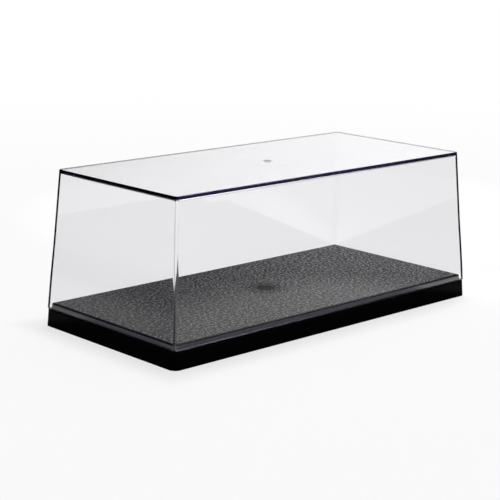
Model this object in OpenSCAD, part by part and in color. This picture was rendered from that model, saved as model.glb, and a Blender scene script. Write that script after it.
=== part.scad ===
// Tabletop display case: a black tray base and a clear cover that lifts straight off.
// Millimetres. The origin is the middle of the foot, +X runs along the case, +Z is up.

/* [Base] */
// Length of the base over its foot
base_l = 325.6; // [260:0.2:400]
// Width of the base over its foot
base_w = 155; // [110:0.2:240]
// Height of the ledge that carries the cover
ledge_h = 14; // [11:0.5:20]
// Thickness of the base's walls and top
base_wall = 2.2; // [1.6:0.1:3]
// Lean of the skirt in degrees
skirt_draft = 4.2; // [1:0.1:6]
// Plan radius of the skirt's corners at the foot
skirt_corner_r = 6; // [4.5:0.5:10]
// Radius of the shoulder round the top of the skirt
shoulder_r = 1.4; // [0.6:0.1:2]

/* [Display floor] */
// Rise of the display floor above the ledge
floor_rise = 4.1; // [3:0.1:6]
// Lean of the display floor's sides in degrees
floor_draft = 3.7; // [1:0.1:6]
// Plan radius of the display floor's corners
floor_corner_r = 1.4; // [1.2:0.1:4]
// Radius along the display floor's top edge
floor_edge_r = 0.7; // [0.3:0.1:1]
// Diameter of the gate well in the middle of the display floor
well_d = 15.4; // [8:0.2:24]
// Depth of the gate well
well_depth = 0.5; // [0.2:0.1:1]

/* [Ribs] */
// Thickness of the ribs under the base
rib_t = 1.8; // [1.2:0.1:3]
// Number of ribs across the base
cross_ribs = 3; // [1:1:5]
// Height of the ribs' lower edges above the table
rib_lift = 0.8; // [0.4:0.1:2]

/* [Cover] */
// Height of the cover
cover_h = 109; // [70:0.5:160]
// Thickness of the cover's side walls
cover_wall = 2.3; // [1.8:0.1:3]
// Thickness of the cover's top
cover_top = 2.4; // [1.8:0.1:4]
// Lean of the cover's walls in degrees
cover_draft = 3.7; // [1:0.1:5]
// Plan radius of the cover's outer corners
cover_corner_r = 1.5; // [1:0.1:3]
// Plan radius of the cover's inner corners
cover_inner_r = 0.8; // [0.4:0.1:2]
// Radius round the outside of the cover's top
cover_edge_r = 0.8; // [0.3:0.1:1]
// Diameter of the gate pip under the cover's top
pip_d = 6.6; // [3:0.2:10]
// Height of the gate pip
pip_h = 1.5; // [0.5:0.1:3]

/* [Fits] */
// Step in from the top of the skirt to the cover's rim
rim_step = 0.5; // [0.2:0.1:1]
// Gap between the cover's rim and the side of the display floor
floor_gap = 0.95; // [0.3:0.05:2]

/* [Hidden] */
// Depth that a cutting shape reaches past the face it cuts
cut = 1;
// Facets of a full turn on the cover's hulled corners
hull_fn = 32;
// Straight band at the foot of each hulled corner
land = 0.4;
// How far the skirt leans in between its foot and its shoulder
skirt_lean = (ledge_h - shoulder_r) * tan(skirt_draft);
// Cover's outer size at its rim
rim_l = base_l - 2 * (skirt_lean + rim_step);
rim_w = base_w - 2 * (skirt_lean + rim_step);
// Display floor's size at the ledge, inside the cover's rim
floor_l = rim_l - 2 * (cover_wall + floor_gap);
floor_w = rim_w - 2 * (cover_wall + floor_gap);
floor_top = ledge_h + floor_rise;
// How far the sides of the display floor lean in
floor_lean = floor_rise * tan(floor_draft);
// Size of the hollow inside the display floor, a wall in from its top edge
pocket_l = floor_l - 2 * (floor_lean + base_wall);
pocket_w = floor_w - 2 * (floor_lean + base_wall);
pocket_top = floor_top - well_depth - base_wall;
// Spacing of the cross ribs
rib_pitch = base_l / (cross_ribs + 1);
// Edge radius that a block's corner can carry
function edge_limit(r, h, draft, edge_r) = min(edge_r, (r - h * tan(draft)) * cos(draft) - 0.05);

base();
cover();

// Side view of a leaning, rounded edge: x is measured out from the corner's centre
module edge_profile(r, h, draft, edge_r) {
    centre_z = h - edge_r;
    centre_x = r - centre_z * tan(draft) - edge_r / cos(draft);
    tangent = [centre_x + edge_r * cos(draft), centre_z + edge_r * sin(draft)];
    polygon([[0, 0], [r, 0], tangent, [centre_x, h], [0, h]]);
    if (edge_r > 0) {
        intersection() {
            translate([centre_x, centre_z]) circle(edge_r, $fn = 48);
            square([r, h]);
        }
    }
}

// Block with leaning sides and round plan corners, l by w at its foot
module leaning_block(l, w, h, r, draft, edge_r) {
    centre_x = l / 2 - r;
    centre_y = w / 2 - r;
    rounding = edge_limit(r, h, draft, edge_r);
    for (turn = [0:3]) {
        swap = turn % 2;
        reach = swap == 0 ? centre_x : centre_y;
        side = swap == 0 ? centre_y : centre_x;
        rotate(turn * 90) {
            translate([reach, side, 0])
                rotate_extrude(angle = 90, $fn = 96) edge_profile(r, h, draft, rounding);
            translate([reach, side, 0]) rotate([90, 0, 0])
                linear_extrude(2 * side) edge_profile(r, h, draft, rounding);
        }
    }
    translate([-centre_x, -centre_y, 0]) cube([2 * centre_x, 2 * centre_y, h]);
}

// Post with a round plan and a rounded top, for the corners of the cover's hulls
module corner_post(r, edge_r) {
    rotate_extrude($fn = hull_fn) {
        intersection() {
            translate([r - edge_r, 0]) circle(edge_r, $fn = hull_fn);
            translate([0, -edge_r]) square([r, 2 * edge_r]);
        }
    }
}

// Box with leaning walls, l by w at height 0, its top at height h
module leaning_box(l, w, h, draft, corner_r, edge_r, foot) {
    lean_foot = foot * tan(draft);
    lean_top = (h - edge_r) * tan(draft);
    hull() {
        for (sx = [-1, 1], sy = [-1, 1]) {
            translate([sx * (l / 2 - lean_foot - corner_r), sy * (w / 2 - lean_foot - corner_r), foot])
                cylinder(r = corner_r, h = land, $fn = hull_fn);
            translate([sx * (l / 2 - lean_top - corner_r), sy * (w / 2 - lean_top - corner_r), h - edge_r])
                corner_post(corner_r, edge_r);
        }
    }
}

// Hollow under the base, left open at the foot
module base_hollow() {
    hollow_h = ledge_h - base_wall;
    translate([0, 0, -cut]) {
        leaning_block(base_l - 2 * base_wall + 2 * cut * tan(skirt_draft),
            base_w - 2 * base_wall + 2 * cut * tan(skirt_draft),
            hollow_h + cut, skirt_corner_r - base_wall + cut * tan(skirt_draft), skirt_draft, 0);
    }
    translate([-pocket_l / 2, -pocket_w / 2, hollow_h - cut])
        cube([pocket_l, pocket_w, pocket_top - hollow_h + cut]);
}

// Ribs that stiffen the base's top from below
module ribs() {
    rib_h = floor_top - rib_lift;
    translate([-base_l / 2, -rib_t / 2, rib_lift]) cube([base_l, rib_t, rib_h]);
    for (i = [1:cross_ribs]) {
        translate([i * rib_pitch - base_l / 2 - rib_t / 2, -base_w / 2, rib_lift])
            cube([rib_t, base_w, rib_h]);
    }
}

module base() {
    color([0.03, 0.03, 0.035]) {
        difference() {
            union() {
                leaning_block(base_l, base_w, ledge_h, skirt_corner_r, skirt_draft, shoulder_r);
                translate([0, 0, ledge_h - cut]) {
                    leaning_block(floor_l + 2 * cut * tan(floor_draft), floor_w + 2 * cut * tan(floor_draft),
                        floor_rise + cut, floor_corner_r + cut * tan(floor_draft), floor_draft, floor_edge_r);
                }
            }
            difference() {
                base_hollow();
                ribs();
            }
            translate([0, 0, floor_top - well_depth]) cylinder(d = well_d, h = well_depth + cut, $fn = 96);
        }
    }
}

module cover() {
    inner_l = rim_l - 2 * cover_wall;
    inner_w = rim_w - 2 * cover_wall;
    inner_h = cover_h - cover_top;
    color([0.86, 0.87, 0.9, 0.3]) {
        translate([0, 0, ledge_h]) {
            difference() {
                leaning_box(rim_l, rim_w, cover_h, cover_draft, cover_corner_r, cover_edge_r, 0);
                leaning_box(inner_l, inner_w, inner_h, cover_draft, cover_inner_r,
                    min(cover_inner_r, cover_edge_r), -cut);
            }
            translate([0, 0, inner_h - pip_h])
                cylinder(d1 = 0.75 * pip_d, d2 = pip_d, h = pip_h + cover_top / 2, $fn = 48);
        }
    }
}
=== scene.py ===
"""Clear display case on a black base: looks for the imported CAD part."""
from math import cos, pi, radians, sin, tan

import bmesh
import bpy
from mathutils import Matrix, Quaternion, Vector

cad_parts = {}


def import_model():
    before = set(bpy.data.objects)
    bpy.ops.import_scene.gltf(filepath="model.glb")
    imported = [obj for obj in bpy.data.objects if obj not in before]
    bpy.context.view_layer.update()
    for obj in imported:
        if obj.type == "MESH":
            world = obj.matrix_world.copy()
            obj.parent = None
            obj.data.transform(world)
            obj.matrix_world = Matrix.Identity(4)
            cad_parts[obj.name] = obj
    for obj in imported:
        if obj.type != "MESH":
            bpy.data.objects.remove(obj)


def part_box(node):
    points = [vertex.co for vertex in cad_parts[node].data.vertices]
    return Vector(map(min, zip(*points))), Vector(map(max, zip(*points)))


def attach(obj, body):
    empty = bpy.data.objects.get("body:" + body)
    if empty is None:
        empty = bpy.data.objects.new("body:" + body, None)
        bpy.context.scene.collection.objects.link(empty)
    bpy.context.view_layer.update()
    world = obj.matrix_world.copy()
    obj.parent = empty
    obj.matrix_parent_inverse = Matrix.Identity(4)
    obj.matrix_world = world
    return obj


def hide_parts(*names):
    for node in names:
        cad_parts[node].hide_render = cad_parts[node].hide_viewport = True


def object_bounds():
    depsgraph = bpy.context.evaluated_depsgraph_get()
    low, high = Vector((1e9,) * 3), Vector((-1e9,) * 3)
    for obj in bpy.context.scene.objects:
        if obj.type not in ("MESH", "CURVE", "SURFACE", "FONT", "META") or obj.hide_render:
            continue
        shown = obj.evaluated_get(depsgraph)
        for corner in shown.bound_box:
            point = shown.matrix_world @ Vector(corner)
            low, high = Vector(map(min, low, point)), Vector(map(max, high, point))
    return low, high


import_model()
CAD_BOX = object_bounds()
MM = 0.001

# Camera, set to the photograph's viewpoint. Places in metres in the part's frame.
LENS = 105.385
CAMERA_AT = Vector((-0.80152, -0.82209, 0.32148))
CAMERA_AIM = Vector((-0.00374, 0.0145, 0.04736))
CAMERA_ROLL = radians(1.022)

# Cover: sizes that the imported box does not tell
COVER_WALL = 2.3 * MM
COVER_TOP = 2.8 * MM
COVER_DRAFT = radians(3.7)
# Plan radii of the corners at the rim and near the top: the inner corner is sharper at the rim
OUTER_CORNER = 2.0 * MM, 3.0 * MM
INNER_CORNER = 0.3 * MM, 1.0 * MM
# Least plan radius that a corner keeps where the top's edge rounds it off
COVER_LEAST_CORNER = 0.05 * MM
# Heights above the rim between which the corner radii change
CORNER_BLEND = 20 * MM, 55 * MM
BLEND_STEPS = 6
COVER_EDGE = 0.8 * MM
COVER_INNER_EDGE = 1.5 * MM
# Straight wall left between the last plain ring and the top's edge radius
EDGE_MARGIN = 0.2 * MM
RIM_EDGE = 0.25 * MM
RIM_STEPS = 4
# Radii of plain rings on the flat of the top, on its outside and on its inside
TOP_RINGS = 4 * MM, 30 * MM
UNDER_TOP_RING = 12 * MM
# Round witness line of the tool's gate insert, on the inside of the cover's top: a step down over a narrow
# slope, with flat land on each side
WITNESS_R = 25 * MM
WITNESS_STEP = 0.01 * MM
WITNESS_SLOPE = 0.15 * MM
WITNESS_LAND = 4 * MM
# Gate pip inside the top: a short straight foot, then a crown. The lands are flat, round its foot.
PIP_R = 3.3 * MM
PIP_H = 1.5 * MM
PIP_FOOT = 0.05 * MM
PIP_FULLNESS = 0.6
PIP_CROWN = 1.2
PIP_STEPS = 10
PIP_LEAST_R = 0.1 * MM
PIP_LANDS = 1.2 * MM, 0.4 * MM
COVER_SHARP = radians(60)

# Base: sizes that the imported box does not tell
SKIRT_DRAFT = radians(4.2)
SKIRT_CORNER = 6 * MM
SHOULDER = 1.4 * MM
FOOT_EDGE = 0.2 * MM
FOOT_STEPS = 3
FLOOR_GAP = 0.95 * MM
FLOOR_DRAFT = radians(3.7)
FLOOR_CORNER = 1.4 * MM
FLOOR_EDGE = 1.2 * MM
# Height of the second ring up the floor's side
FLOOR_FOOT = 0.2 * MM
# Polished margin between the floor's edge radius and its grain
FLOOR_MARGIN = 0.3 * MM
BASE_LEAST_CORNER = 0.1 * MM
BASE_SHARP = radians(40)
# Gate well: a flat recess in the solid, which the hollow below clears, and a dish here. The lands are flat,
# round its edge.
WELL_R = 7.7 * MM
WELL_DEPTH = 0.5 * MM
WELL_LANDS = 4 * MM, 0.3 * MM
DISH_DEPTH = 0.8 * MM
DISH_LIP = 0.1 * MM
DISH_STEPS = 8
# Share of the well's radius that its innermost ring has
DISH_EYE = 0.02
# The halo round the gate ends at this radius
HALO_R = 22 * MM
HALO_LAND = 4 * MM
BASE_WALL = 2.2 * MM
RIB = 1.8 * MM
RIB_LIFT = 0.8 * MM
CROSS_RIBS = 3
# The cutter of the recess reaches this far below the foot, and the cells this far down into the recess
RECESS_BELOW = 2 * MM
CELL_OVERLAP = 0.4 * MM
# Offset between cutting faces that would otherwise lie in one plane
CELL_STEP = 0.2 * MM
# Plan radii of the cells' corners at their foot, under the ledge and under the floor
FOOT_CELL_CORNER = 2 * MM
LEDGE_CELL_CORNER = 1.5 * MM
FLOOR_CELL_CORNER = 1 * MM

CORNER_STEPS = 10
EDGE_STEPS = 8
# Weighted normals: at 100 the larger faces decide, so flat faces stay flat
FLAT_WEIGHT = 100

WHITE = (1, 1, 1, 1)

# Table for straight rays: it glows by a share, and the rest is lit and keeps the shadow, most of all near the
# case. Between the two distances of the horizon it turns into the plain white background.
TABLE_COLOUR = (0.9, 0.9, 0.9, 1)
TABLE_REACH = 6
TABLE_PARTS = 4
TABLE_GLOW = 0.9
CONTACT_GLOW = 0.7
SHADOW_REACH = 0.03
HORIZON = 0.3, 1.5
# Behind the case and at its right, the glow hides the side card's light, less with distance from the card
FAR_GLOW = 0.995
FAR_SOFT = 0.03
FAR_FADE = 0.25, 0.6

# Table for mirrored rays: white behind the case and at its right, and pale mats in front and at its left.
# A mat has the distances from the case where it starts, starts to fade and ends, and its level. Elsewhere
# mirrored rays find the table dark; between the case and the mats this is painted shade for the case's
# contact shadow.
FRONT_MAT = 0.066, 0.12, 0.28, 1.0
LEFT_MAT = 0.055, 0.09, 0.17, 0.5
MAT_GLOW = 0.4
MAT_SOFT = 0.006
# Places along X between which the mats dim, and what is left of them further right
MAT_DIMMING = 0.12, 0.22
MAT_LEFT_OVER = 0.1
# Level and soft edge of the white areas, where the one behind starts along X and the one at the right along Y
SIDE_LEVEL = 0.9
SIDE_SOFT = 0.02
BEHIND_FROM = -0.22
RIGHT_FROM = -0.15

# Room for mirrored rays: a white sheet ahead, turned a little to the right, a paler one at the right, and
# dark elsewhere. Directions are given as cosines.
SHEET_TURN = radians(14)
SHEET_AHEAD = 0.8, 1.0
SHEET_UP = 0.4, 0.65
SHEET_LEVEL = 1.2
RIGHT_SHEET = 0.3, 0.8
RIGHT_SHEET_LEVEL = 0.4
ROOM = (0.01, 0.01, 0.022, 1)
# What rays meet that the plastic has mirrored more than once
DUSK = (0.03, 0.03, 0.08, 1)
# The white background dims to this level for rays that the plastic turns steeply up
CEILING_UP = 0.4, 0.7
CEILING = 0.08

# Lights: even fill, a softbox, and a low card past the case's far right corner
FILL = 0.35
LAMP_AT = Vector((0.7, 0.3, 1.4))
LAMP_AIM = Vector((0, 0, 0.05))
LAMP_SIZE = 0.9, 0.9
LAMP_POWER = 8
CARD_ENDS = (0.3, -0.1), (0.1, 0.25)
CARD_FOOT = 0.02
CARD_HEAD = 0.2
CARD_GLOW = 5.5

# Plastics. A finish has patches of differing roughness, and waves.
CLEAR = (1, 1, 1, 1)
PLASTIC_IOR = 1.5
ABSORB = 13
ABSORB_TINT = (0.58, 0.55, 0.78, 1)
CLEAR_FINISH = {"patch_scale": 35, "patch_detail": 2.0, "patch_levels": (0.4, 0.8), "rough": (0.0, 0.008),
                "wave_scale": 18, "wave_depth": 0.01 * MM}
# The gate is torn off, so the pip is frosted. Its near-black tint is painted shade that darkens the clear pip
PIP_PAINTED_SHADE = (0.05, 0.05, 0.06, 1)
TORN_FINISH = {**CLEAR_FINISH, "rough": (0.7, 0.84)}
SKIRT_COLOUR = (0.002, 0.002, 0.0025, 1)
SKIRT_SPECULAR = 0.02
POLISHED_FINISH = {"patch_scale": 60, "patch_detail": 3.0, "patch_levels": (0.3, 0.75), "rough": (0.1, 0.18),
                   "wave_scale": 25, "wave_depth": 0.01 * MM}
# The grey of the floor's black side is a painted reflection
SIDE_PAINTED_REFLECTION = (0.3, 0.293, 0.32, 1)
FLOOR_SPECULAR = 0.02
SATIN_FINISH = {"patch_scale": 300, "patch_detail": 3.0, "patch_levels": (0.3, 0.7), "rough": (0.3, 0.4),
                "wave_scale": 200, "wave_depth": 0.02 * MM}
WAVE_DETAIL = 1.0
# Spark-eroded grain: the noise levels that split its pits from its tips, and their tones. The tips' pale
# grey is partly painted sheen, the glints of the grained black.
GRAIN_SCALE = 500
GRAIN_DETAIL = 3.0
GRAIN_SPLIT = 0.5, 0.6
GRAIN_DARK = 0.01
GRAIN_TIP_AND_SHEEN = 0.3
GRAIN_BUMP = 0.08 * MM
FLOOR_ROUGH = 0.35
# Noise levels and shares by which the grain varies the roughness
UNEVEN_SPLIT = 0.4, 0.6
UNEVEN = 0.9, 1.1
# Inside this radius the grain is darkest and most matt
HALO_FROM = 10 * MM
HALO_DARK = 0.72
HALO_ROUGH = 0.7


def add_camera():
    data = bpy.data.cameras.new("camera")
    data.lens = LENS
    camera = bpy.data.objects.new("camera", data)
    look = (CAMERA_AIM - CAMERA_AT).to_track_quat("-Z", "Y")
    camera.rotation_mode = "QUATERNION"
    camera.rotation_quaternion = look @ Quaternion((0, 0, 1), CAMERA_ROLL)
    camera.location = CAMERA_AT
    bpy.context.scene.collection.objects.link(camera)
    bpy.context.scene.camera = camera


class Nodes:
    """Short way to build a node tree."""

    def __init__(self, tree):
        self.tree = tree
        tree.nodes.clear()

    def add(self, kind, **settings):
        node = self.tree.nodes.new(kind)
        for name, value in settings.items():
            setattr(node, name, value)
        return node

    def join(self, source, target):
        self.tree.links.new(source, target)

    def put(self, value, target):
        """Links an output to a socket, or sets the socket to a plain value."""
        if hasattr(value, "is_linked"):
            self.join(value, target)
        else:
            target.default_value = value

    def maths(self, operation, a, b=0.0, c=0.0):
        node = self.add("ShaderNodeMath", operation=operation)
        for value, socket in zip((a, b, c), node.inputs):
            self.put(value, socket)
        return node.outputs[0]

    def vector(self, operation, a, b=(0, 0, 0)):
        node = self.add("ShaderNodeVectorMath", operation=operation)
        self.put(a, node.inputs[0])
        self.put(b, node.inputs[1])
        return node.outputs["Value" if operation in ("DOT_PRODUCT", "LENGTH") else "Vector"]

    def ramp(self, value, low, high, at_low=0.0, at_high=1.0):
        node = self.add("ShaderNodeMapRange", interpolation_type="SMOOTHSTEP")
        for setting, socket in zip((value, low, high, at_low, at_high), node.inputs):
            self.put(setting, socket)
        return node.outputs["Result"]

    def noise(self, scale, detail):
        """Noise in the object's own space."""
        node = self.add("ShaderNodeTexNoise")
        node.inputs["Scale"].default_value = scale
        node.inputs["Detail"].default_value = detail
        self.join(self.add("ShaderNodeTexCoord").outputs["Object"], node.inputs["Vector"])
        return node.outputs["Fac"]

    def bump(self, height, distance, shader):
        node = self.add("ShaderNodeBump")
        node.inputs["Distance"].default_value = distance
        self.join(height, node.inputs["Height"])
        self.join(node.outputs["Normal"], shader.inputs["Normal"])

    def mixed(self, share, first, second):
        node = self.add("ShaderNodeMixShader")
        for source, socket in zip((share, first, second), node.inputs):
            self.join(source, socket)
        return node.outputs[0]

    def coloured(self, kind, colour, strength=None):
        """A shader of one colour, such as a glow or the world's light."""
        node = self.add(kind)
        node.inputs["Color"].default_value = colour
        if strength is not None:
            self.put(strength, node.inputs["Strength"])
        return node.outputs[0]


def material(name):
    mat = bpy.data.materials.new(name)
    mat.use_nodes = True
    n = Nodes(mat.node_tree)
    return mat, n, n.add("ShaderNodeOutputMaterial")


def new_object(name, bm, materials):
    mesh = bpy.data.meshes.new(name)
    bm.to_mesh(mesh)
    bm.free()
    for mat in materials:
        mesh.materials.append(mat)
    obj = bpy.data.objects.new(name, mesh)
    bpy.context.scene.collection.objects.link(obj)
    return obj


# ---------------------------------------------------------------- stage

# Directions that the studio is laid out by: from the main view's side to the back, and to the right
UP = Vector((0, 0, 1))
AHEAD = Vector((CAMERA_AIM.x - CAMERA_AT.x, CAMERA_AIM.y - CAMERA_AT.y, 0)).normalized()
RIGHT = AHEAD.cross(UP)
# A ray's depths are whole numbers, so a threshold halfway between two of them is safe
HALF = 0.5


def straight_through(n, path):
    """1 where a ray has met only clear plastic since it left the eye, else 0."""
    turned = n.maths("ADD", path.outputs["Glossy Depth"], path.outputs["Diffuse Depth"])
    return n.maths("LESS_THAN", turned, HALF)


def scattered(n, path):
    """1 where a ray has left a matt surface, else 0."""
    return n.maths("GREATER_THAN", path.outputs["Diffuse Depth"], HALF)


def mirrored(n, path, times=1):
    """1 where a ray has been mirrored at least so many times and never scattered, else 0."""
    often = n.maths("GREATER_THAN", path.outputs["Glossy Depth"], times - HALF)
    return n.maths("MULTIPLY", often, n.maths("LESS_THAN", path.outputs["Diffuse Depth"], HALF))


def world():
    studio = bpy.data.worlds.new("studio")
    bpy.context.scene.world = studio
    studio.use_nodes = True
    n = Nodes(studio.node_tree)
    path = n.add("ShaderNodeLightPath")
    way = n.add("ShaderNodeTexCoord").outputs["Generated"]
    ahead = n.vector("DOT_PRODUCT", way, AHEAD * cos(SHEET_TURN) + RIGHT * sin(SHEET_TURN))
    right = n.vector("DOT_PRODUCT", way, RIGHT)
    up = n.vector("DOT_PRODUCT", way, UP)
    sheet = n.maths("MULTIPLY", n.ramp(ahead, *SHEET_AHEAD, 0, SHEET_LEVEL), n.ramp(up, *SHEET_UP, 1, 0))
    right_sheet = n.ramp(right, *RIGHT_SHEET, 0, RIGHT_SHEET_LEVEL)
    room = n.maths("MAXIMUM", n.maths("MAXIMUM", sheet, right_sheet), ROOM[0])
    backdrop = n.maths("MAXIMUM", path.outputs["Is Camera Ray"], n.ramp(up, *CEILING_UP, 1, CEILING))
    seen = n.maths("MULTIPLY", straight_through(n, path), backdrop)
    lit = n.maths("MAXIMUM", n.maths("MULTIPLY", scattered(n, path), FILL),
                  n.maths("MULTIPLY", room, mirrored(n, path)))
    light = n.coloured("ShaderNodeBackground", WHITE, n.maths("MAXIMUM", seen, lit))
    dusk = n.coloured("ShaderNodeBackground", DUSK)
    n.join(n.mixed(mirrored(n, path, 2), light, dusk), n.add("ShaderNodeOutputWorld").inputs["Surface"])


def mirrored_table(n, x, y):
    """How white a mirrored ray finds the table at a place: the areas at the back and right, and the mats."""
    low, high = CAD_BOX
    behind = n.maths("MULTIPLY", n.ramp(y, high[1], high[1] + SIDE_SOFT),
                     n.ramp(x, BEHIND_FROM, BEHIND_FROM + SIDE_SOFT))
    right = n.maths("MULTIPLY", n.ramp(x, high[0], high[0] + SIDE_SOFT),
                    n.ramp(y, RIGHT_FROM, RIGHT_FROM + SIDE_SOFT))
    white = n.maths("MULTIPLY", n.maths("MAXIMUM", behind, right), SIDE_LEVEL)
    dimming = n.ramp(x, *MAT_DIMMING, 1, MAT_LEFT_OVER)
    for along, edge, (start, fade, end, level) in ((x, low[0], LEFT_MAT), (y, low[1], FRONT_MAT)):
        out = n.maths("MULTIPLY_ADD", along, -1, edge)
        shown = n.maths("MULTIPLY", n.ramp(out, start, start + MAT_SOFT), n.ramp(out, fade, end, level, 0))
        white = n.maths("MAXIMUM", white, n.maths("MULTIPLY", shown, dimming))
    return white


def straight_table(n, place, x, y):
    """The share by which the table glows at a place for a straight ray."""
    high = CAD_BOX[1]
    reach = n.maths("MAXIMUM", n.maths("SUBTRACT", n.maths("ABSOLUTE", x), high[0]),
                    n.maths("SUBTRACT", n.maths("ABSOLUTE", y), high[1]))
    near = n.ramp(reach, 0, SHADOW_REACH, CONTACT_GLOW, TABLE_GLOW)
    share = n.ramp(n.vector("LENGTH", place), *HORIZON, near, 1)
    away = n.maths("MAXIMUM", n.ramp(y, high[1], high[1] + FAR_SOFT), n.ramp(x, high[0], high[0] + FAR_SOFT))
    card_corner = CARD_ENDS[0][0], CARD_ENDS[1][1], 0
    off_card = n.vector("LENGTH", n.vector("SUBTRACT", place, card_corner))
    by_card = n.maths("MULTIPLY", away, n.ramp(off_card, *FAR_FADE, 1, 0))
    return n.maths("MAXIMUM", share, n.maths("MULTIPLY", by_card, FAR_GLOW))


def table():
    mat, n, surface = material("table_white")
    path = n.add("ShaderNodeLightPath")
    place = n.add("ShaderNodeTexCoord").outputs["Object"]
    plan = n.add("ShaderNodeSeparateXYZ")
    n.join(place, plan.inputs[0])
    x, y = plan.outputs["X"], plan.outputs["Y"]
    in_mirror = mirrored(n, path)
    glow = n.maths("MAXIMUM", n.maths("MULTIPLY", straight_through(n, path), straight_table(n, place, x, y)),
                   n.maths("MULTIPLY", in_mirror, MAT_GLOW))
    white = n.mixed(glow, n.coloured("ShaderNodeBsdfDiffuse", TABLE_COLOUR),
                    n.coloured("ShaderNodeEmission", WHITE))
    # Where the mirrored table is not white, it glows as dark as the room: painted shade near the case
    beyond = n.maths("MULTIPLY", in_mirror, n.maths("SUBTRACT", 1, mirrored_table(n, x, y)))
    dim = n.mixed(beyond, white, n.coloured("ShaderNodeEmission", ROOM))
    whole = n.mixed(mirrored(n, path, 2), dim, n.coloured("ShaderNodeEmission", DUSK))
    n.join(whole, surface.inputs["Surface"])
    bm = bmesh.new()
    bmesh.ops.create_grid(bm, x_segments=TABLE_PARTS, y_segments=TABLE_PARTS, size=TABLE_REACH)
    obj = new_object("table", bm, [mat])


def softbox():
    data = bpy.data.lights.new("softbox", "AREA")
    data.shape = "RECTANGLE"
    data.size, data.size_y = LAMP_SIZE
    data.energy = LAMP_POWER
    obj = bpy.data.objects.new("softbox", data)
    obj.location = LAMP_AT
    obj.rotation_mode = "QUATERNION"
    obj.rotation_quaternion = (LAMP_AIM - LAMP_AT).to_track_quat("-Z", "Y")
    bpy.context.scene.collection.objects.link(obj)


def side_card():
    """A glowing card past the case's far right corner. Only matt surfaces see it, so nothing mirrors it."""
    mat, n, surface = material("card_white")
    unseen = n.add("ShaderNodeBsdfTransparent").outputs[0]
    glow = n.coloured("ShaderNodeEmission", WHITE, CARD_GLOW)
    n.join(n.mixed(scattered(n, n.add("ShaderNodeLightPath")), unseen, glow), surface.inputs["Surface"])
    first, second = CARD_ENDS
    corners = (*first, CARD_FOOT), (*second, CARD_FOOT), (*second, CARD_HEAD), (*first, CARD_HEAD)
    bm = bmesh.new()
    bm.faces.new([bm.verts.new(corner) for corner in corners])
    obj = new_object("side_card", bm, [mat])


# ---------------------------------------------------------------- materials

def plastic(name, sockets):
    """A Principled material with plain values on the named sockets."""
    mat, n, surface = material(name)
    shader = n.add("ShaderNodeBsdfPrincipled")
    for socket, value in sockets.items():
        shader.inputs[socket].default_value = value
    n.join(shader.outputs[0], surface.inputs["Surface"])
    return mat, n, shader, surface


def add_finish(n, shader, patch_scale, patch_detail, patch_levels, rough, wave_scale, wave_depth):
    """Roughness that differs in patches, and waves in the surface."""
    patches = n.noise(patch_scale, patch_detail)
    n.join(n.ramp(patches, *patch_levels, *rough), shader.inputs["Roughness"])
    n.bump(n.noise(wave_scale, WAVE_DETAIL), wave_depth, shader)


def clear_plastic(name, colour, finish):
    """Crystal polystyrene: clear, with the faint waves that the melt leaves. The pip's near-black colour is
    painted shade.
    """
    sockets = {"Base Color": colour, "IOR": PLASTIC_IOR, "Transmission Weight": 1}
    mat, n, shader, surface = plastic(name, sockets)
    add_finish(n, shader, **finish)
    absorb = n.add("ShaderNodeVolumeAbsorption")
    absorb.inputs["Color"].default_value = ABSORB_TINT
    absorb.inputs["Density"].default_value = ABSORB
    n.join(absorb.outputs[0], surface.inputs["Volume"])
    return mat


def smooth_black(name, colour, specular, finish):
    """Black polystyrene from a polished or stoned face of the tool. On the floor's side its grey colour is a
    painted reflection.
    """
    mat, n, shader, _ = plastic(name, {"Base Color": colour, "Specular IOR Level": specular})
    add_finish(n, shader, **finish)
    return mat


def grained_black():
    """Black polystyrene from a spark-eroded face of the tool, darker and more matt round the gate. The pale
    grain tips are partly painted sheen.
    """
    mat, n, shader, _ = plastic("black_grained", {"Specular IOR Level": FLOOR_SPECULAR})
    grain = n.noise(GRAIN_SCALE, GRAIN_DETAIL)
    place = n.add("ShaderNodeTexCoord").outputs["Object"]
    off_gate = n.vector("LENGTH", n.vector("MULTIPLY", place, (1, 1, 0)))
    halo = n.ramp(off_gate, HALO_FROM, HALO_R, HALO_DARK, 1)
    outside_well = n.maths("GREATER_THAN", off_gate, WELL_R)
    tone = n.maths("MULTIPLY", n.ramp(grain, *GRAIN_SPLIT, GRAIN_DARK, GRAIN_TIP_AND_SHEEN),
                   n.maths("MULTIPLY", halo, outside_well))
    colour = n.add("ShaderNodeCombineColor")
    for socket in colour.inputs:
        n.join(tone, socket)
    n.join(colour.outputs[0], shader.inputs["Base Color"])
    matt = n.ramp(off_gate, HALO_FROM, HALO_R, HALO_ROUGH, FLOOR_ROUGH)
    n.join(n.maths("MULTIPLY", matt, n.ramp(grain, *UNEVEN_SPLIT, *UNEVEN)), shader.inputs["Roughness"])
    n.bump(grain, GRAIN_BUMP, shader)
    return mat


# ---------------------------------------------------------------- rings and lofts

def plan_ring(half_x, half_y, radius):
    """Points of a rectangle with round corners, anticlockwise."""
    points = []
    for corner in range(4):
        x = (half_x - radius) * (1, -1, -1, 1)[corner]
        y = (half_y - radius) * (1, 1, -1, -1)[corner]
        for step in range(CORNER_STEPS + 1):
            turn = pi / 2 * (corner + step / CORNER_STEPS)
            points.append((x + radius * cos(turn), y + radius * sin(turn)))
    return points


def circle_ring(radius):
    """As many points as plan_ring gives, on a circle."""
    count = 4 * (CORNER_STEPS + 1)
    turns = [2 * pi * (i + 0.5) / count for i in range(count)]
    return [(radius * cos(turn), radius * sin(turn)) for turn in turns]


def circle_rings(radii, z):
    return [(circle_ring(radius), z) for radius in radii]


def spread(steps, start=0.0, end=pi / 2):
    """Evenly spaced values from start to end, by default the angles of a quarter turn."""
    return [start + (end - start) * step / steps for step in range(steps + 1)]


def blend(value, low, high):
    """Smooth step from 0 at low to 1 at high."""
    share = min(max((value - low) / (high - low), 0), 1)
    return share * share * (3 - 2 * share)


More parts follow.
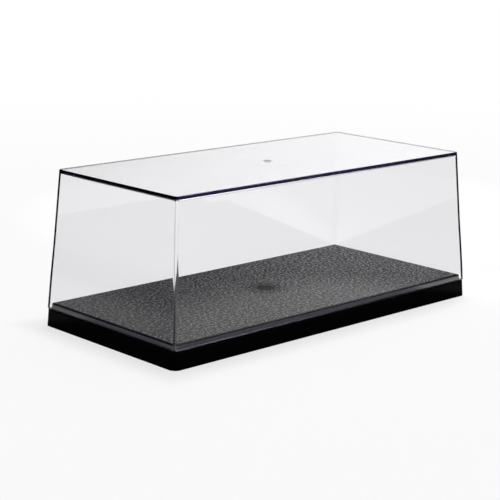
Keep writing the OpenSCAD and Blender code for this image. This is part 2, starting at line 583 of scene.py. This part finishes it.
def loft(bm, rings, slots=None):
    """Faces through rings, each a list of plan points with a height, closed at both ends.

    slots gives the material slot of the band above each ring; the last ring's is the lid's.
    """
    slots = slots or [0] * len(rings)
    loops = [[bm.verts.new((x, y, z)) for x, y in points] for points, z in rings]
    count = len(loops[0])
    bm.faces.new(list(reversed(loops[0])))
    bm.faces.new(loops[-1]).material_index = slots[-1]
    for low, high, slot in zip(loops, loops[1:], slots):
        for i in range(count):
            j = (i + 1) % count
            bm.faces.new((low[i], low[j], high[j], high[i])).material_index = slot


def new_piece(name, bm, materials):
    bmesh.ops.recalc_face_normals(bm, faces=bm.faces)
    return new_object(name, bm, materials)


def smooth(obj, sharp_angle):
    """Smooth shading that keeps flat faces flat."""
    bpy.context.view_layer.update()
    mesh = obj.data
    mesh.shade_smooth()
    mesh.set_sharp_from_angle(angle=sharp_angle)
    even = obj.modifiers.new("flats", "WEIGHTED_NORMAL")
    even.keep_sharp = True
    even.weight = FLAT_WEIGHT


def rounded_top(half_x, half_y, corner, draft, edge, top_z, base_z):
    """Rings over the rounded top edge of a leaning wall whose foot is half_x by half_y at base_z."""
    centre_z = top_z - edge
    lean = (centre_z - base_z) * tan(draft) + edge / cos(draft)
    rings = []
    for rise in spread(EDGE_STEPS, draft):
        pull = lean - edge * cos(rise)
        radius = max(corner - pull, BASE_LEAST_CORNER)
        rings.append((plan_ring(half_x - pull, half_y - pull, radius), centre_z + edge * sin(rise)))
    return rings


# ---------------------------------------------------------------- cover

def cover_wall(half_x, half_y, corners, edge, low_z, top_z):
    """Rings up a wall of the cover and over its top edge."""
    centre_z = top_z - edge
    rings = []
    heights = [RIM_EDGE, *spread(BLEND_STEPS, *CORNER_BLEND), centre_z - low_z - EDGE_MARGIN]
    for height in heights:
        pull = height * tan(COVER_DRAFT)
        radius = corners[0] + (corners[1] - corners[0]) * blend(height, *CORNER_BLEND)
        rings.append((plan_ring(half_x - pull, half_y - pull, radius), low_z + height))
    lean = (centre_z - low_z) * tan(COVER_DRAFT) + edge / cos(COVER_DRAFT)
    for rise in spread(EDGE_STEPS, COVER_DRAFT):
        pull = lean - edge * cos(rise)
        radius = max(corners[1] - edge * (1 - cos(rise)), COVER_LEAST_CORNER)
        rings.append((plan_ring(half_x - pull, half_y - pull, radius), centre_z + edge * sin(rise)))
    return rings


def rim(half_x, half_y, low_z):
    """Rings round the cover's rim, between the lowest rings of its outer and inner walls."""
    outside = [(turn, 0, 1, OUTER_CORNER[0]) for turn in spread(RIM_STEPS)[1:]]
    inside = [(turn, COVER_WALL, -1, INNER_CORNER[0]) for turn in spread(RIM_STEPS, pi / 2, 0)[:-1]]
    rings = []
    for turn, wall, side, corner in outside + inside:
        pull = wall + side * RIM_EDGE * (1 - cos(turn)) + RIM_EDGE * tan(COVER_DRAFT) * cos(turn)
        rings.append((plan_ring(half_x - pull, half_y - pull, corner), low_z + RIM_EDGE * (1 - sin(turn))))
    return rings


def gate_pip(top_z):
    """Rings down the pip under the inside of the cover's top."""
    rings = []
    for turn in spread(PIP_STEPS):
        radius = max(PIP_R * max(cos(turn), 0) ** PIP_FULLNESS, PIP_LEAST_R)
        z = top_z - PIP_FOOT - (PIP_H - PIP_FOOT) * sin(turn) ** PIP_CROWN
        rings.append((circle_ring(radius), z))
    return rings


def cover():
    low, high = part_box("cover")
    inner_z = high.z - COVER_TOP
    pip_z = inner_z - WITNESS_STEP
    inner_x = high.x - COVER_WALL
    inner_y = high.y - COVER_WALL
    top = circle_rings(TOP_RINGS, high.z)
    outer = cover_wall(high.x, high.y, OUTER_CORNER, COVER_EDGE, low.z, high.z)
    inner = cover_wall(inner_x, inner_y, INNER_CORNER, COVER_INNER_EDGE, low.z, inner_z)
    # Inside: the witness line, then the flat up to the pip
    inside = circle_rings([WITNESS_R + WITNESS_LAND, WITNESS_R + WITNESS_SLOPE], inner_z)
    inside += circle_rings([WITNESS_R - WITNESS_SLOPE, WITNESS_R - WITNESS_LAND, UNDER_TOP_RING], pip_z)
    inside += circle_rings([PIP_R + land for land in PIP_LANDS], pip_z)
    shell = top + outer[::-1] + rim(high.x, high.y, low.z) + inner + inside
    pip = gate_pip(pip_z)
    bm = bmesh.new()
    loft(bm, shell + pip, [0] * len(shell) + [1] * len(pip))
    obj = new_piece("cover_shell", bm, [clear_plastic("clear_plastic", CLEAR, CLEAR_FINISH),
                                        clear_plastic("clear_torn_painted_shade", PIP_PAINTED_SHADE, TORN_FINISH)])
    smooth(obj, COVER_SHARP)
    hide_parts("cover")
    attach(obj, "cover")


# ---------------------------------------------------------------- base

def cut_away(obj, cutter):
    """Takes the cutter's shape out of obj and removes the cutter."""
    cut = obj.modifiers.new("cut", "BOOLEAN")
    cut.operation = "DIFFERENCE"
    cut.solver = "EXACT"
    cut.object = cutter
    bpy.context.view_layer.update()
    cut_mesh = bpy.data.meshes.new_from_object(obj.evaluated_get(bpy.context.evaluated_depsgraph_get()))
    obj.modifiers.clear()
    obj.data = cut_mesh
    bpy.data.objects.remove(cutter)


def cut_recess(obj, foot_x, foot_y):
    """Cuts the shallow recess below the ribs out of the base's foot."""
    rings = []
    for z in (-RECESS_BELOW, RIB_LIFT):
        pull = z * tan(SKIRT_DRAFT)
        rings.append((plan_ring(foot_x - pull, foot_y - pull, SKIRT_CORNER - BASE_WALL - pull), z))
    bm = bmesh.new()
    loft(bm, rings)
    cut_away(obj, new_piece("foot_recess", bm, [obj.data.materials[0]]))


def cell_stages(foot_x, foot_y, floor_x, floor_y, ledge_z, floor_z):
    """Heights, half sizes and corner radii of the cells: a wide stage, and a narrower one under the floor."""
    hollow_z = ledge_z - BASE_WALL
    pocket_z = floor_z - WELL_DEPTH - BASE_WALL
    floor_lean = (floor_z - ledge_z) * tan(FLOOR_DRAFT)
    pocket = floor_x - floor_lean - BASE_WALL, floor_y - floor_lean - BASE_WALL
    stages = []
    for z, corner in ((RIB_LIFT - CELL_OVERLAP, FOOT_CELL_CORNER), (hollow_z, LEDGE_CELL_CORNER)):
        pull = z * tan(SKIRT_DRAFT)
        stages.append((z, foot_x - CELL_STEP - pull, foot_y - CELL_STEP - pull, corner))
    stages.append((hollow_z + CELL_STEP, *pocket, LEDGE_CELL_CORNER))
    stages.append((pocket_z, *pocket, FLOOR_CELL_CORNER))
    return stages


def cut_cells(obj, skirt_x, stages):
    """Cuts the cells between the ribs out of the base, all with one cutter."""
    pitch = 2 * skirt_x / (CROSS_RIBS + 1)
    bm = bmesh.new()
    for column in range(CROSS_RIBS + 1):
        from_x = -skirt_x + column * pitch + RIB / 2
        to_x = from_x + pitch - RIB
        for side in (-1, 1):
            rings = []
            for z, half_x, half_y, corner in stages:
                x0, x1 = max(from_x, -half_x), min(to_x, half_x)
                y0, y1 = RIB / 2, half_y
                points = plan_ring((x1 - x0) / 2, (y1 - y0) / 2, corner)[::side]
                rings.append(([(x + (x0 + x1) / 2, side * (y + (y0 + y1) / 2)) for x, y in points], z))
            loft(bm, rings)
    cut_away(obj, new_piece("rib_cells", bm, [obj.data.materials[0]]))


def base_skirt(half_x, half_y, ledge_z):
    """Rings from the foot up the skirt and over its shoulder."""
    rings = []
    for turn in spread(FOOT_STEPS, pi / 2, 0):
        pull = FOOT_EDGE * (1 - cos(turn))
        ring = plan_ring(half_x - pull, half_y - pull, SKIRT_CORNER - pull)
        rings.append((ring, FOOT_EDGE * (1 - sin(turn))))
    return rings + rounded_top(half_x, half_y, SKIRT_CORNER, SKIRT_DRAFT, SHOULDER, ledge_z, 0)


def floor_side(half_x, half_y, ledge_z):
    """Rings at the foot of the display floor's side."""
    rings = []
    for z in (0, FLOOR_FOOT):
        pull = z * tan(FLOOR_DRAFT)
        rings.append((plan_ring(half_x - pull, half_y - pull, FLOOR_CORNER - pull), ledge_z + z))
    return rings


def floor_flat(half_x, half_y, rise, floor_z):
    """Rings over the grained flat of the display floor and down its gate well."""
    inset = rise * tan(FLOOR_DRAFT) + FLOOR_EDGE + FLOOR_MARGIN
    rings = [(plan_ring(half_x - inset, half_y - inset, BASE_LEAST_CORNER), floor_z)]
    rings += circle_rings([HALO_R + HALO_LAND, HALO_R] + [WELL_R + land for land in WELL_LANDS], floor_z)
    for turn in spread(DISH_STEPS):
        z = floor_z - DISH_LIP - (DISH_DEPTH - DISH_LIP) * sin(turn)
        rings.append((circle_ring(WELL_R * max(cos(turn), DISH_EYE)), z))
    return rings


def base():
    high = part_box("base")[1]
    rim_low, rim_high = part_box("cover")
    ledge_z = rim_low.z
    floor_x = rim_high.x - COVER_WALL - FLOOR_GAP
    floor_y = rim_high.y - COVER_WALL - FLOOR_GAP
    edge = rounded_top(floor_x, floor_y, FLOOR_CORNER, FLOOR_DRAFT, FLOOR_EDGE, high.z, ledge_z)
    # Bands from the foot up. The floor's edge and margin are polished, like the skirt and the ledge. The
    # floor's
    # side is grey: painted reflection.
    polished, grained, satin = range(3)
    bands = ((base_skirt(high.x, high.y, ledge_z), polished), (floor_side(floor_x, floor_y, ledge_z), satin),
             (edge, polished), (floor_flat(floor_x, floor_y, high.z - ledge_z, high.z), grained))
    bm = bmesh.new()
    rings = [ring for band, slot in bands for ring in band]
    slots = [slot for band, slot in bands for ring in band]
    loft(bm, rings, slots)
    obj = new_piece("base_moulding", bm, [
        smooth_black("black_polished", SKIRT_COLOUR, SKIRT_SPECULAR, POLISHED_FINISH),
        grained_black(),
        smooth_black("black_satin_painted_reflection", SIDE_PAINTED_REFLECTION, FLOOR_SPECULAR, SATIN_FINISH)])
    foot_x = high.x - BASE_WALL
    foot_y = high.y - BASE_WALL
    cut_recess(obj, foot_x, foot_y)
    cut_cells(obj, high.x, cell_stages(foot_x, foot_y, floor_x, floor_y, ledge_z, high.z))
    smooth(obj, BASE_SHARP)
    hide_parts("base")
    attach(obj, "base")


add_camera()
world()
table()
softbox()
side_card()
cover()
base()

scene = bpy.context.scene
scene.view_settings.view_transform = "Standard"
# Light crosses the cover's walls many times
scene.cycles.max_bounces = 32
scene.cycles.transmission_bounces = 32
scene.cycles.glossy_bounces = 16
